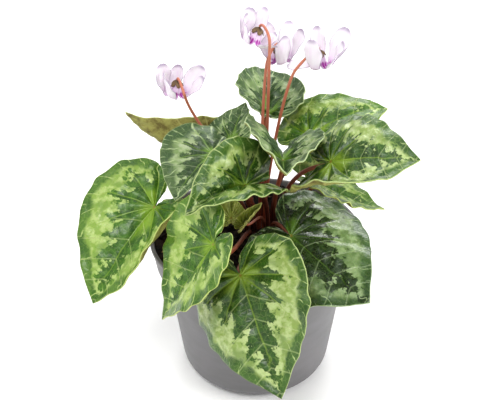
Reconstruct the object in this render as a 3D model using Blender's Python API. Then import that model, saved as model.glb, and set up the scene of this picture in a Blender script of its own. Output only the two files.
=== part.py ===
# Potted cyclamen: one plant in a 12 cm nursery pot of peat, with its tuber, fifteen leaves
# on their own stems and four nodding flowers. Metres, +Z up. The pot's axis is the Z axis and
# its foot stands on z = 0. The front of the plant faces -Y.
import math

import bmesh
import bpy
import numpy as np
from mathutils import Matrix, Vector

MM = 0.001  # every size below is in millimetres
GAP = 0.3  # clearance between two pieces that touch

# Pot: a thin moulded shell, from foot ring to rim
POT_HEIGHT = 90.0
RIM_RADIUS = 60.0
RIM_LIP = 1.4
COLLAR_RADIUS = 57.2
COLLAR_HEIGHT = 17.0
BODY_RADIUS = 52.0
BASE_RADIUS = 44.0
CORNER_RADIUS = 12.0
POT_WALL = 1.4
CORNER_TURNS = (0, 22, 45, 66, 84)  # degrees round the corner between floor and wall
COLLAR_FLARE = 1.2  # height in which the wall steps out to the collar
LIP_DROP = 2.2  # from the rim down to the foot of its lip
LIP_STEP = 1.0
RIM_ROUND = 0.5
INNER_STEP_FOOT = 1.0  # the step inside the collar, above the collar's foot
INNER_STEP_TOP = 2.6
INNER_LIP_DROP = 1.2
INNER_LIP_STEP = 0.8
DRAIN_INNER = 17.0
DRAIN_OUTER = 29.0
DRAIN_LIFT = 3.0
DRAIN_HOLE_RADIUS = 4.0
DRAIN_HOLES = 6
CHANNEL_SLOPE = 1.0  # width of each sloping side of the drain channel
NOTCH_LENGTH = 13.0
NOTCH_WIDTH = 5.0
NOTCH_DEPTH = 0.7
POT_SEGMENTS = 40

# Peat and tuber
SOIL_TOP = 83.0
SOIL_EDGE = 86.5  # the peat is pushed up where it meets the wall
SOIL_RINGS = (18.0, 34.0, 48.0)
SOIL_BUMP = 0.5
TUBER_CENTRE = (4.0, 10.0, 70.0)
TUBER_RADIUS = 21.0
TUBER_SQUASH = 0.78
CROWN_TOP = 84.4

# Leaves and stems
LEAF_THICKNESS = 0.8
LEAF_ANGLES = 24
LEAF_RINGS = 3
SINUS_HALF_ANGLE = 8.0
LEAF_STEM_RADIUS = 1.3
YOUNG_STEM_RADIUS = 0.8
FLOWER_STEM_RADIUS = 0.95
STEM_SIDES = 6
STEM_FOOT = 1.2  # a stem leaves the crown upright for this height
STEM_CLEAR = 0.4  # between a leaf stem and the blade it carries
STEM_TAPER = 0.8  # a leaf stem's radius at its blade, as a share of that at its foot
BLADE_HALF_WIDTH = 0.56  # of its length

# Flowers
TUBE_RADIUS = 3.4
TUBE_DEPTH = 6.5
PETAL_THICKNESS = 0.5
HOOK_TAPER = 0.7  # a flower stem's radius at the flower, as a share of that at its foot
PETAL_COLUMNS = 4
PETAL_ROWS = 8
PETAL_BEND = 1.5
TUBE_SHARE = 1 / 3
SEPAL_THICKNESS = 0.5
SEPAL_REACH = 0.34
STYLE_RADIUS = 0.4

# Colour, roughness of each material
PLASTIC = ("pot_plastic", (0.235, 0.225, 0.235), 0.42)
PEAT = ("peat", (0.022, 0.014, 0.010), 0.95)
BARK = ("tuber_skin", (0.090, 0.052, 0.032), 0.85)
LEAF = ("leaf_blade", (0.120, 0.230, 0.075), 0.38)
LEAF_STEM = ("leaf_stem", (0.200, 0.070, 0.045), 0.45)
FLOWER_STEM = ("flower_stem", (0.420, 0.200, 0.130), 0.45)
SEPAL = ("sepal", (0.190, 0.120, 0.070), 0.55)
PETAL = ("petal", (0.860, 0.740, 0.850), 0.50)
STYLE = ("style", (0.700, 0.300, 0.480), 0.50)


def clear_scene():
    for old in list(bpy.data.objects):
        bpy.data.objects.remove(old, do_unlink=True)


def material(recipe):
    name, colour, roughness = recipe
    made = bpy.data.materials.get(name) or bpy.data.materials.new(name)
    made.use_nodes = True
    shader = made.node_tree.nodes["Principled BSDF"]
    shader.inputs["Base Color"].default_value = (*colour, 1.0)
    shader.inputs["Roughness"].default_value = roughness
    shader.inputs["Metallic"].default_value = 0.0
    return made


def add_piece(name, bm, recipe, thickness=0.0, sharp_degrees=50.0):
    """Turns a bmesh in millimetres into a named object; thickness makes a sheet solid, below its face."""
    bmesh.ops.scale(bm, vec=(MM, MM, MM), verts=bm.verts)
    mesh = bpy.data.meshes.new(name)
    bm.to_mesh(mesh)
    bm.free()
    mesh.materials.append(material(recipe))
    mesh.shade_smooth()
    mesh.set_sharp_from_angle(angle=math.radians(sharp_degrees))
    piece = bpy.data.objects.new(name, mesh)
    bpy.context.scene.collection.objects.link(piece)
    if thickness:
        wall = piece.modifiers.new("thickness", "SOLIDIFY")
        wall.thickness = thickness * MM
        wall.offset = -1.0
    return piece


def turned(profile, segments):
    """A closed (radius, height) profile turned once round Z; points on the axis close to a pole."""
    bm = bmesh.new()
    ring = [bm.verts.new((radius, 0.0, height)) for radius, height in profile]
    edges = [bm.edges.new((a, b)) for a, b in zip(ring, ring[1:] + ring[:1])]
    bmesh.ops.spin(
        bm, geom=ring + edges, axis=(0, 0, 1), cent=(0, 0, 0),
        steps=segments, angle=math.tau, use_merge=True, use_duplicate=False,
    )
    bmesh.ops.remove_doubles(bm, verts=bm.verts, dist=0.001)
    bmesh.ops.dissolve_degenerate(bm, edges=bm.edges, dist=0.001)
    bmesh.ops.recalc_face_normals(bm, faces=bm.faces)
    return bm


def cut(piece, cutter):
    cutter.hide_render = True
    cutter.display_type = "WIRE"
    hole = piece.modifiers.new("cut", "BOOLEAN")
    hole.operation = "DIFFERENCE"
    hole.solver = "EXACT"
    hole.object = cutter


# ---------------------------------------------------------------- pot and peat


def corner_profile(radius, turns):
    """Points round the corner between the pot's floor and its wall."""
    points = []
    for turn in turns:
        angle = math.radians(turn)
        out = BASE_RADIUS - CORNER_RADIUS + radius * math.sin(angle)
        points.append((out, CORNER_RADIUS - radius * math.cos(angle)))
    return points


def wall_profile():
    """Outer line of the pot from the foot ring up to the rim lip."""
    return corner_profile(CORNER_RADIUS, CORNER_TURNS) + [
        (BODY_RADIUS, POT_HEIGHT - COLLAR_HEIGHT),
        (COLLAR_RADIUS, POT_HEIGHT - COLLAR_HEIGHT + COLLAR_FLARE),
        (RIM_RADIUS - LIP_STEP, POT_HEIGHT - LIP_DROP - LIP_STEP),
        (RIM_RADIUS, POT_HEIGHT - LIP_DROP),
    ]


def inner_profile():
    """Inner line of the pot, from just under the rim down to the floor."""
    return [
        (RIM_RADIUS - RIM_LIP - INNER_LIP_STEP, POT_HEIGHT - INNER_LIP_DROP),
        (COLLAR_RADIUS - POT_WALL, POT_HEIGHT - COLLAR_HEIGHT + INNER_STEP_TOP),
        (BODY_RADIUS - POT_WALL, POT_HEIGHT - COLLAR_HEIGHT + INNER_STEP_FOOT),
    ] + corner_profile(CORNER_RADIUS - POT_WALL, CORNER_TURNS[::-1])


def channel_profile(height, clear):
    """The pot's floor from outside to the axis, over the raised drain channel, or just above it."""
    return [
        (DRAIN_OUTER + CHANNEL_SLOPE + clear, height),
        (DRAIN_OUTER + clear, height + DRAIN_LIFT),
        (DRAIN_INNER - clear, height + DRAIN_LIFT),
        (DRAIN_INNER - CHANNEL_SLOPE - clear, height),
        (0.0, height),
    ]


def build_pot():
    rim = [
        (RIM_RADIUS, POT_HEIGHT - RIM_ROUND),
        (RIM_RADIUS - RIM_ROUND, POT_HEIGHT),
        (RIM_RADIUS - RIM_LIP, POT_HEIGHT),
    ]
    underside = [
        (0.0, 0.0),
        (DRAIN_INNER - 2 * CHANNEL_SLOPE, 0.0),
        (DRAIN_INNER - CHANNEL_SLOPE, DRAIN_LIFT),
        (DRAIN_OUTER + CHANNEL_SLOPE, DRAIN_LIFT),
        (DRAIN_OUTER + 2 * CHANNEL_SLOPE, 0.0),
    ]
    profile = wall_profile() + rim + inner_profile() + channel_profile(POT_WALL, 0.0) + underside
    pot = add_piece("pot", turned(profile, POT_SEGMENTS), PLASTIC, sharp_degrees=35.0)
    cut(pot, drain_cutter())
    return pot


def drain_cutter():
    """Round drain holes through the raised channel, and a notch through the foot ring beside each."""
    bm = bmesh.new()
    hole_centre = (DRAIN_INNER + DRAIN_OUTER) / 2
    notch_centre = DRAIN_OUTER + CHANNEL_SLOPE + NOTCH_LENGTH / 3
    for index in range(DRAIN_HOLES):
        turn = Matrix.Rotation(math.tau * index / DRAIN_HOLES - math.pi / 2, 4, "Z")
        bmesh.ops.create_cone(
            bm, cap_ends=True, segments=12, radius1=DRAIN_HOLE_RADIUS, radius2=DRAIN_HOLE_RADIUS,
            depth=4 * DRAIN_LIFT, matrix=turn @ Matrix.Translation((hole_centre, 0.0, DRAIN_LIFT)),
        )
        size = Matrix.Diagonal((NOTCH_LENGTH, NOTCH_WIDTH, 2 * NOTCH_DEPTH, 1.0))
        bmesh.ops.create_cube(bm, size=1.0, matrix=turn @ Matrix.Translation((notch_centre, 0.0, 0.0)) @ size)
    return add_piece("drain_cutter", bm, PLASTIC)


def soil_height(x, y, edge_radius):
    """Nearly level round the plant, rising towards the wall, with low bumps."""
    out = min(math.hypot(x, y) / edge_radius, 1.0)
    bumps = math.sin(x / 9.0 + 1.0) * math.cos(y / 11.0)
    return SOIL_TOP + (SOIL_EDGE - SOIL_TOP) * out**3 + SOIL_BUMP * bumps * (1.0 - out**3)


def build_soil():
    inner = [(radius - GAP, height + GAP) for radius, height in inner_profile()]
    lip, step = inner[0], inner[1]
    share = (SOIL_EDGE - step[1]) / (lip[1] - step[1])
    edge_radius = step[0] + (lip[0] - step[0]) * share
    top = [(0.0, SOIL_TOP)] + [(radius, SOIL_TOP) for radius in SOIL_RINGS] + [(edge_radius, SOIL_EDGE)]
    bm = turned(top + inner[1:] + channel_profile(POT_WALL + GAP, GAP), POT_SEGMENTS)
    for vert in bm.verts:
        if vert.co.z >= SOIL_TOP:
            vert.co.z = soil_height(vert.co.x, vert.co.y, edge_radius)
    soil = add_piece("soil", bm, PEAT)
    cut(soil, tuber_shape("tuber_cutter", GAP))
    return soil


def tuber_shape(name, swell):
    """A flattened ball with a level crown, where the stems grow."""
    bm = bmesh.new()
    bmesh.ops.create_uvsphere(bm, u_segments=20, v_segments=12, radius=TUBER_RADIUS + swell)
    bmesh.ops.scale(bm, vec=(1.0, 1.0, TUBER_SQUASH), verts=bm.verts)
    bmesh.ops.translate(bm, vec=TUBER_CENTRE, verts=bm.verts)
    if not swell:
        cutting = bmesh.ops.bisect_plane(
            bm, geom=bm.verts[:] + bm.edges[:] + bm.faces[:],
            plane_co=(0, 0, CROWN_TOP), plane_no=(0, 0, 1), clear_outer=True,
        )
        edge = [item for item in cutting["geom_cut"] if isinstance(item, bmesh.types.BMEdge)]
        bmesh.ops.contextual_create(bm, geom=edge)
    bmesh.ops.recalc_face_normals(bm, faces=bm.faces)
    return add_piece(name, bm, BARK)


# ---------------------------------------------------------------- stems


def bezier(points, steps):
    """Points along a cubic Bezier, ends included."""
    a, b, c, d = (np.array(point, float) for point in points)
    share = np.linspace(0.0, 1.0, steps + 1)[:, None]
    rest = 1.0 - share
    return a * rest**3 + 3 * b * share * rest**2 + 3 * c * share**2 * rest + d * share**3


def tube(path, start_radius, end_radius, sides=STEM_SIDES):
    """A round rod along a path, with flat ends, tapering evenly from its first point to its last."""
    bm = bmesh.new()
    path = [Vector(point) for point in path]
    side = Vector((1.0, 0.0, 0.0))
    rings = []
    for index, point in enumerate(path):
        ahead = path[min(index + 1, len(path) - 1)]
        behind = path[max(index - 1, 0)]
        along = (ahead - behind).normalized()
        side = (side - along * side.dot(along)).normalized()
        other = along.cross(side)
        radius = start_radius + (end_radius - start_radius) * index / (len(path) - 1)
        ring = []
        for corner in range(sides):
            angle = math.tau * corner / sides
            ring.append(bm.verts.new(point + radius * (side * math.cos(angle) + other * math.sin(angle))))
        rings.append(ring)
    for low, high in zip(rings, rings[1:]):
        for corner in range(sides):
            after = (corner + 1) % sides
            bm.faces.new((low[corner], low[after], high[after], high[corner]))
    bm.faces.new(rings[0][::-1])
    bm.faces.new(rings[-1])
    return bm


def crown_point(angle_degrees, ring_radius):
    """A place on the tuber's crown, just clear of its skin."""
    angle = math.radians(angle_degrees)
    x, y, _ = TUBER_CENTRE
    return (x + ring_radius * math.cos(angle), y + ring_radius * math.sin(angle), CROWN_TOP + GAP)


# ---------------------------------------------------------------- leaves


def reach(angle):
    """Distance from stem to margin, as a share of leaf length, at an angle from the tip in degrees."""
    away = np.abs(angle)
    lobes = 0.6 * (1.0 - (away / 180.0) ** 3) ** 0.6
    point = 0.4 * np.exp(-away / 22.0)
    return lobes + point


def arc(start, curvature, distance):
    """Along and up after a distance on an arc that starts at an angle to the level (radians)."""
    curvature = curvature if abs(curvature) > 1e-6 else 1e-6
    finish = start + curvature * distance
    return (math.sin(finish) - math.sin(start)) / curvature, (math.cos(start) - math.cos(finish)) / curvature


def leaf_axes(leaf):
    """Right, tip and face directions of a leaf from its heading, pitch and roll."""
    heading, pitch, roll = (math.radians(leaf[key]) for key in ("heading", "pitch", "roll"))
    tip = Vector((math.cos(heading) * math.cos(pitch), math.sin(heading) * math.cos(pitch), math.sin(pitch)))
    level = Vector((math.sin(heading), -math.cos(heading), 0.0))
    face = level.cross(tip)
    right = level * math.cos(roll) + face * math.sin(roll)
    return right, tip, right.cross(tip)


def leaf_point(leaf, angle, share):
    """A point of the blade: angle from the tip (right positive), share of the way to the margin."""
    length = leaf["length"]
    side = "right" if angle >= 0 else "left"
    out = reach(angle) * length * share
    across = out * abs(math.sin(math.radians(angle))) * leaf["width_" + side]
    along = out * math.cos(math.radians(angle))
    fold = math.radians(leaf["fold_" + side])
    curl = math.radians(leaf["curl_" + side]) / (BLADE_HALF_WIDTH * length)
    x, z = arc(fold, curl, across)
    if along >= 0:
        bend = -math.radians(leaf["droop"]) / length
        y, lift = arc(0.0, bend, along)
        tilt = bend * along
    else:
        along = -along * leaf["lobe_" + side]
        bend = -2.0 * math.radians(leaf["back_droop"]) / length
        y, lift = arc(0.0, bend, along)
        y = -y
        tilt = -bend * along
    right, tip, face = leaf_axes(leaf)
    x = math.copysign(x, x * angle) if angle else 0.0
    local = right * x + tip * (y - z * math.sin(tilt)) + face * (lift + z * math.cos(tilt))
    return Vector(leaf["at"]) + local


def build_blade(name, leaf):
    bm = bmesh.new()
    bmesh.ops.create_grid(bm, x_segments=LEAF_ANGLES, y_segments=LEAF_RINGS, size=1.0)
    for vert in bm.verts:
        angle = vert.co.x * (180.0 - SINUS_HALF_ANGLE)
        share = (vert.co.y + 1.0) / 2.0
        vert.co = leaf_point(leaf, angle, share)
    bmesh.ops.remove_doubles(bm, verts=bm.verts, dist=0.001)
    bmesh.ops.recalc_face_normals(bm, faces=bm.faces)
    face = leaf_axes(leaf)[2]
    middle = min(bm.faces, key=lambda f: (f.calc_center_median() - Vector(leaf["at"])).length)
    if middle.normal.dot(face) < 0:
        bmesh.ops.reverse_faces(bm, faces=bm.faces)
    return add_piece(name, bm, LEAF, thickness=LEAF_THICKNESS)


def build_leaf_stem(name, leaf):
    """From the crown up and over to the underside of the blade, which it meets square or more upright."""
    radius = leaf["stem_radius"]
    face = leaf_axes(leaf)[2]
    way = face.lerp(Vector((0.0, 0.0, 1.0)), leaf["upright"]).normalized()
    slant = STEM_TAPER * radius * math.tan(way.angle(face))
    end = Vector(leaf["at"]) - face * (LEAF_THICKNESS + STEM_CLEAR + slant)
    start = Vector(crown_point(leaf["crown"], leaf["crown_ring"]))
    foot = start + Vector((0.0, 0.0, STEM_FOOT))
    rise = Vector((0.0, 0.0, leaf["rise"] * (end - start).length))
    under = end - way * leaf["approach"] + Vector(leaf["swing"])
    curve = bezier((foot, foot + rise, under, end), 8)
    path = np.vstack([[start], curve])
    return add_piece(name, tube(path, radius, STEM_TAPER * radius), LEAF_STEM)


PLAIN_LEAF = dict(
    roll=0.0, width_left=1.0, width_right=1.0, lobe_left=1.0, lobe_right=1.0, fold_left=10.0,
    fold_right=10.0, curl_left=-10.0, curl_right=-10.0, droop=15.0, back_droop=10.0, crown_ring=9.5,
    rise=0.45, approach=12.0, upright=0.0, swing=(0, 0, 0), stem_radius=LEAF_STEM_RADIUS,
)

# Each leaf: where its blade meets the stem, which way it points and how it is bent.
LEAVES = {
    "front": dict(
        at=(-8, -68, 110), heading=-64, pitch=-44, roll=-27, length=62, width_left=1.05,
        width_right=1.15, lobe_left=0.7, lobe_right=0.7, fold_left=19, fold_right=-1, curl_left=21,
        curl_right=-61, droop=3, back_droop=20, swing=(-10, 6, -4), crown=-115, rise=0.05,
        approach=18, upright=0.7,
    ),
    "front_right": dict(
        at=(18, -38, 113), heading=-49, pitch=-13, roll=-31, length=60, width_left=1.05,
        width_right=1.0, lobe_left=1.2, lobe_right=0.85, fold_left=1, fold_right=1, curl_left=-40,
        curl_right=-3, droop=-17, back_droop=9, crown=-65,
    ),
    "front_left": dict(
        at=(-21, -66, 127), heading=-175, pitch=-57, roll=8, length=52, width_left=0.95,
        width_right=1.1, lobe_left=0.85, lobe_right=0.85, fold_left=21, fold_right=18,
        curl_left=-32, curl_right=11, droop=4, back_droop=30, crown=-140, rise=0.1, approach=20,
        upright=0.8,
    ),
    "left": dict(
        at=(-55, -12, 114), heading=-135, pitch=-28, roll=4, length=62, width_left=0.95,
        width_right=1.1, lobe_left=0.6, lobe_right=1.05, fold_left=-4, fold_right=26, curl_left=82,
        curl_right=-24, droop=29, back_droop=10, crown=-175,
    ),
    "centre": dict(
        at=(-6, -36, 142), heading=-135, pitch=18, length=40, width_right=1.1, lobe_left=1.45,
        lobe_right=1.45, fold_left=25, fold_right=68, curl_left=-22, curl_right=6, droop=33,
        back_droop=27, crown=-60, crown_ring=6.0, rise=0.7,
    ),
    "mid_left": dict(
        at=(-23, -6, 144), heading=-128, pitch=-5, roll=-29, length=37, width_left=1.1,
        width_right=1.25, lobe_left=1.6, lobe_right=1.45, fold_left=-6, fold_right=31, curl_left=-8,
        curl_right=27, droop=26, back_droop=29, crown=180, crown_ring=6.0,
    ),
    "back_left": dict(
        at=(-27, 44, 116.5), heading=207, pitch=15, roll=-14, length=61, width_left=0.72,
        width_right=0.5, lobe_left=0.8, lobe_right=0.8, fold_left=66, fold_right=66, curl_left=0,
        curl_right=0, droop=-43, back_droop=-29, crown=155,
    ),
    "back_inner": dict(
        at=(-14, 25, 135), heading=70, pitch=42, roll=8, length=26, width_left=1.15,
        width_right=0.9, lobe_left=1.0, lobe_right=1.0, fold_left=5, fold_right=12, curl_left=-5,
        curl_right=18, droop=22, back_droop=11, crown=125,
    ),
    "back": dict(
        at=(7, 42, 144), heading=85, pitch=16, roll=-18, length=42, width_left=1.1, lobe_left=0.6,
        lobe_right=0.6, fold_left=39, fold_right=39, curl_left=-15, curl_right=19, droop=11,
        back_droop=-6, crown=90,
    ),
    "folded": dict(
        at=(14, -12, 143), heading=-91, pitch=8, roll=5, length=47, width_right=1.15,
        lobe_left=1.15, lobe_right=1.15, fold_left=49, fold_right=48, curl_left=-10, curl_right=-3,
        droop=-29, back_droop=5, crown=-10, crown_ring=6.0,
    ),
    "back_right": dict(
        at=(30, 24, 139), heading=10, pitch=35, roll=-15, length=49, width_left=1.0,
        width_right=1.05, lobe_left=1.15, lobe_right=1.15, fold_left=1, fold_right=4, curl_left=-8,
        curl_right=-11, droop=45, back_droop=7, crown=55, rise=0.75,
    ),
    "right": dict(
        at=(38, -22, 148), heading=-33, pitch=27, roll=-41, length=47, width_left=1.25,
        width_right=1.25, lobe_left=1.05, lobe_right=1.05, fold_left=0, fold_right=6, curl_left=-29,
        curl_right=62, droop=36, back_droop=10, crown=-22, rise=0.75,
    ),
    "right_low": dict(
        at=(34, 12, 115), heading=-7, pitch=-28, roll=5, length=42, fold_left=13, fold_right=11,
        curl_left=-3, curl_right=12, droop=-14, crown=15,
    ),
    "young": dict(
        at=(-6, -31, 115.5), heading=10, pitch=52, roll=-20, length=15, fold_left=66, fold_right=50,
        curl_left=15, curl_right=15, droop=-4, crown=-80, stem_radius=YOUNG_STEM_RADIUS, approach=6,
        crown_ring=6.0, width_left=0.7, width_right=0.7,
    ),
    "young_upright": dict(
        at=(-13.7, -12, 106.9), heading=100, pitch=75, length=14, crown=-135,
        stem_radius=YOUNG_STEM_RADIUS, approach=6, rise=0.7, crown_ring=6.0,
    ),
}


def build_leaves():
    for name, own in LEAVES.items():
        leaf = PLAIN_LEAF | own
        build_blade("leaf_" + name, leaf)
        build_leaf_stem("leaf_stem_" + name, leaf)


# ---------------------------------------------------------------- flowers


def flower_axes(flower):
    """Direction the mouth looks, and two directions across it."""
    down = Vector(flower["looks"]).normalized()
    side = (Vector((1.0, 0.0, 0.0)) - down * down.x).normalized()
    return down, side, down.cross(side)


def dome_point(flower, angle, share, clear=0.0):
    """On the closed end of the flower's tube: share 0 at its top, 1 at the rim of the mouth."""
    down, side, other = flower_axes(flower)
    radius = TUBE_RADIUS * math.sin(math.pi / 2 * share) ** 0.6 + clear * min(share * 6.0, 1.0)
    height = TUBE_DEPTH * (1.0 - share) ** 1.1 + clear
    across = side * math.cos(angle) + other * math.sin(angle)
    return Vector(flower["mouth"]) - down * height + across * radius


def petal_spine(travelled, spread):
    """Out from the mouth, down from it and heading, after a distance along a petal that turns back."""
    stop = math.radians(180.0 - spread)
    bend_length = PETAL_BEND * stop
    swing = stop * min(travelled / bend_length, 1.0)
    beyond = max(travelled - bend_length, 0.0)
    out = PETAL_BEND * (1.0 - math.cos(swing)) + beyond * math.sin(stop)
    drop = PETAL_BEND * math.sin(swing) + beyond * math.cos(stop)
    return out, drop, swing


def petal_half_width(share, width):
    """Half the petal's width: its share of the tube at the mouth, widest past the middle, round tip."""
    neck = 2.0 * TUBE_RADIUS * math.sin(math.pi / 5)
    growth = min(share / 0.65, 1.0)
    opened = neck + (width - neck) * growth**2 * (3.0 - 2.0 * growth)
    tip = max((share - 0.5) / 0.51, 0.0)
    return opened * math.sqrt(1.0 - tip**2.2) / 2


def petal_point(flower, petal, across, along):
    """A petal with its fifth of the tube: along 0 at the tube's closed end, 1 at the petal's tip."""
    base = math.radians(flower["turn"] + 72.0 * petal)
    if along <= TUBE_SHARE:
        return dome_point(flower, base + across * math.pi / 5, along / TUBE_SHARE)
    share = (along - TUBE_SHARE) / (1.0 - TUBE_SHARE)
    spread, length, width, twist, aside = flower["petals"][petal]
    down, side, other = flower_axes(flower)
    heading = base + math.radians(aside) * share
    outward = side * math.cos(heading) + other * math.sin(heading)
    out, drop, swing = petal_spine(share * length, spread)
    turned_by = math.radians(twist) * share
    facing = outward * math.cos(swing) - down * math.sin(swing)
    flat = down.cross(outward) * math.cos(turned_by) + facing * math.sin(turned_by)
    round_in = TUBE_RADIUS * (math.cos(math.pi / 5) - 1.0) * max(1.0 - share / 0.15, 0.0)
    middle = Vector(flower["mouth"]) + outward * (TUBE_RADIUS + out + round_in * across**2) + down * drop
    return middle + flat * across * petal_half_width(share, width)


def build_corolla(name, flower):
    bm = bmesh.new()
    for petal in range(5):
        made = bmesh.ops.create_grid(bm, x_segments=PETAL_COLUMNS, y_segments=PETAL_ROWS, size=1.0)
        for vert in made["verts"]:
            vert.co = petal_point(flower, petal, vert.co.x, (vert.co.y + 1.0) / 2.0)
    bmesh.ops.remove_doubles(bm, verts=bm.verts, dist=0.05)
    bmesh.ops.recalc_face_normals(bm, faces=bm.faces)
    face_away(bm, Vector(flower["mouth"]))
    return add_piece(name, bm, PETAL, thickness=PETAL_THICKNESS)


def face_away(bm, centre):
    """Turns an open shell so that the faces nearest a point look away from it."""
    near = min(bm.faces, key=lambda f: (f.calc_center_median() - centre).length)
    if near.normal.dot(near.calc_center_median() - centre) < 0:
        bmesh.ops.reverse_faces(bm, faces=bm.faces)


def build_calyx(name, flower):
    """Five sepals lying on the closed end of the flower."""
    bm = bmesh.new()
    bmesh.ops.create_grid(bm, x_segments=20, y_segments=2, size=1.0)
    for vert in bm.verts:
        angle = vert.co.x * math.pi
        reach_down = 0.16 + SEPAL_REACH * abs(math.cos(2.5 * angle))
        vert.co = dome_point(flower, angle, reach_down * (vert.co.y + 1.0) / 2.0, GAP + SEPAL_THICKNESS)
    bmesh.ops.remove_doubles(bm, verts=bm.verts, dist=0.01)
    bmesh.ops.recalc_face_normals(bm, faces=bm.faces)
    face_away(bm, Vector(flower["mouth"]))
    return add_piece(name, bm, SEPAL, thickness=SEPAL_THICKNESS)


def build_flower_stem(name, flower):
    """Up from the crown, over a hook, and down to the calyx."""
    down = flower_axes(flower)[0]
    top = Vector(flower["mouth"]) - down * (TUBE_DEPTH + SEPAL_THICKNESS + 2 * GAP)
    start = Vector(crown_point(flower["crown"], flower["crown_ring"]))
    knee = Vector(flower["knee"])
    lean = Vector(flower["lean"])
    foot = start + Vector((0.0, 0.0, STEM_FOOT))
    lower = bezier((foot, foot + Vector((0, 0, 30)), knee - lean, knee), 8)
    hook = bezier((knee, knee + lean * flower["hook"], top - down * 3.5, top), 7)
    path = np.vstack([[start], lower, hook[1:]])
    return add_piece(name, tube(path, FLOWER_STEM_RADIUS, HOOK_TAPER * FLOWER_STEM_RADIUS), FLOWER_STEM)


def build_style(name, flower):
    """The style hangs from the inside of the closed end and just shows in the mouth."""
    down = flower_axes(flower)[0]
    mouth = Vector(flower["mouth"])
    top = mouth - down * (TUBE_DEPTH - PETAL_THICKNESS - 2 * GAP)
    path = [top, mouth - down * 2.0, mouth + down * 0.8]
    return add_piece(name, tube(path, STYLE_RADIUS, STYLE_RADIUS), STYLE)


# Each flower: the middle of its mouth, where it looks, and its petals (spread from the flower's
# axis, length, width, twist, turn aside). The knee is where the stem starts to hook over.
FLOWERS = {
    "left": dict(
        mouth=(-43, 22, 166.5), looks=(-0.1, 0.06, -0.98), turn=32, crown=180, crown_ring=2.6,
        knee=(-38, 10.5, 170), lean=(-3.5, -24, 34), hook=0.06,
        petals=(
            (34, 18, 9, -40, -24), (14, 19, 10, 40, 32), (10, 20, 11, 60, 14),
            (8, 17, 8, 0, 20), (34, 20, 11, -60, 8),
        ),
    ),
    "top": dict(
        mouth=(-1, 14, 199.5), looks=(-0.35, -0.1, -0.9), turn=54, crown=60, crown_ring=2.6,
        knee=(6.6, 3, 202), lean=(0, -1, 12), hook=0.5,
        petals=(
            (60, 11, 7, 20, -30), (14, 17, 10, 40, 38), (8, 19, 10, 60, 10),
            (6, 21, 8, 10, 0), (30, 12, 7, -40, 0),
        ),
    ),
    "middle": dict(
        mouth=(13, 31, 182), looks=(0.15, -0.1, -0.95), turn=90, crown=130, crown_ring=2.6,
        knee=(5.5, 19, 184), lean=(2, 0, 16), hook=0.3,
        petals=(
            (8, 19, 9, 0, -28), (10, 21, 9, 50, 30), (8, 24, 9, 30, 6),
            (22, 23, 11, -50, 0), (28, 22, 10, -60, 0),
        ),
    ),
    "right": dict(
        mouth=(33, 10, 188.5), looks=(0.1, -0.05, -0.95), turn=54, crown=-80, crown_ring=2.6,
        knee=(20, 7, 185.5), lean=(5.5, -1, 9), hook=0.4,
        petals=(
            (30, 18, 9, -40, -34), (6, 20, 11, 10, -8), (95, 17, 8, 30, 10),
            (8, 22, 8, 10, 0), (30, 23, 11, -60, 0),
        ),
    ),
}


def build_flowers():
    for name, flower in FLOWERS.items():
        build_corolla("petals_" + name, flower)
        build_calyx("calyx_" + name, flower)
        build_style("style_" + name, flower)
        build_flower_stem("flower_stem_" + name, flower)


clear_scene()
build_pot()
build_soil()
tuber_shape("tuber", 0.0)
build_leaves()
build_flowers()
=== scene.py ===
import math
import random

import bmesh
import bpy
import numpy as np
from mathutils import Matrix, Vector, noise


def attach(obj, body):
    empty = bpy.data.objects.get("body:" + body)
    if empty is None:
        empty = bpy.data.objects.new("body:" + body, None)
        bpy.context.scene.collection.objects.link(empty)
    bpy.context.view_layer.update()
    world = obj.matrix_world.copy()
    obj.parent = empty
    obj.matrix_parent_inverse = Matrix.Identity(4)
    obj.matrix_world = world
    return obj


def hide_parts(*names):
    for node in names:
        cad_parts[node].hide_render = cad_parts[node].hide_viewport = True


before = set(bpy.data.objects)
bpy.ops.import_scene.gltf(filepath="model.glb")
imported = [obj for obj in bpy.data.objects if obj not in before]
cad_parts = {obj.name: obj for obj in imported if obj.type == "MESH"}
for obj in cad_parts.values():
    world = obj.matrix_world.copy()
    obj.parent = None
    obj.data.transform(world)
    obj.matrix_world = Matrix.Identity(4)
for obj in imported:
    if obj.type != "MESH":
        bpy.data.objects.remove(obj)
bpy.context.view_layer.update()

mm = 0.001
random.seed(11)


def srgb(code):
    channels = [int(code[i:i + 2], 16) / 255 for i in (1, 3, 5)]
    return tuple(c / 12.92 if c < 0.04045 else ((c + 0.055) / 1.055) ** 2.4 for c in channels) + (1.0,)


# short names of the nodes used most; a mask is 0 at its first limit, 1 at its second and smooth between
shortNodes = {
    "mask": ("MapRange", {"interpolation_type": "SMOOTHSTEP"}),
    "blend": ("Mix", {"data_type": "RGBA"}),
}
for operation in ("add", "subtract", "multiply", "multiply_add", "fract", "absolute", "maximum"):
    shortNodes[operation] = ("Math", {"operation": operation.upper()})


def setInputs(target, inputs):
    # a node or a socket is linked, anything else is set on the input itself
    for key, value in inputs.items():
        if isinstance(value, bpy.types.Node):
            value = next(s for s in value.outputs if s.enabled)
        if isinstance(value, bpy.types.NodeSocket):
            target.id_data.links.new(value, target.inputs[key])
        else:
            target.inputs[key].default_value = value


def node(tree, kind, *values, **settings):
    # values go to the open inputs in order, or by name when they are one dictionary
    kind, preset = shortNodes.get(kind, (kind, {}))
    made = tree.nodes.new("ShaderNode" + kind)
    for key, value in (preset | settings).items():
        setattr(made, key, value)
    if values and isinstance(values[0], dict):
        setInputs(made, values[0])
    else:
        places = [i for i, socket in enumerate(made.inputs) if socket.enabled]
        setInputs(made, dict(zip(places, values)))
    return made


def newMaterial(name):
    made = bpy.data.materials.new(name)
    made.use_nodes = True
    return made, made.node_tree, made.node_tree.nodes["Principled BSDF"]


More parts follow.
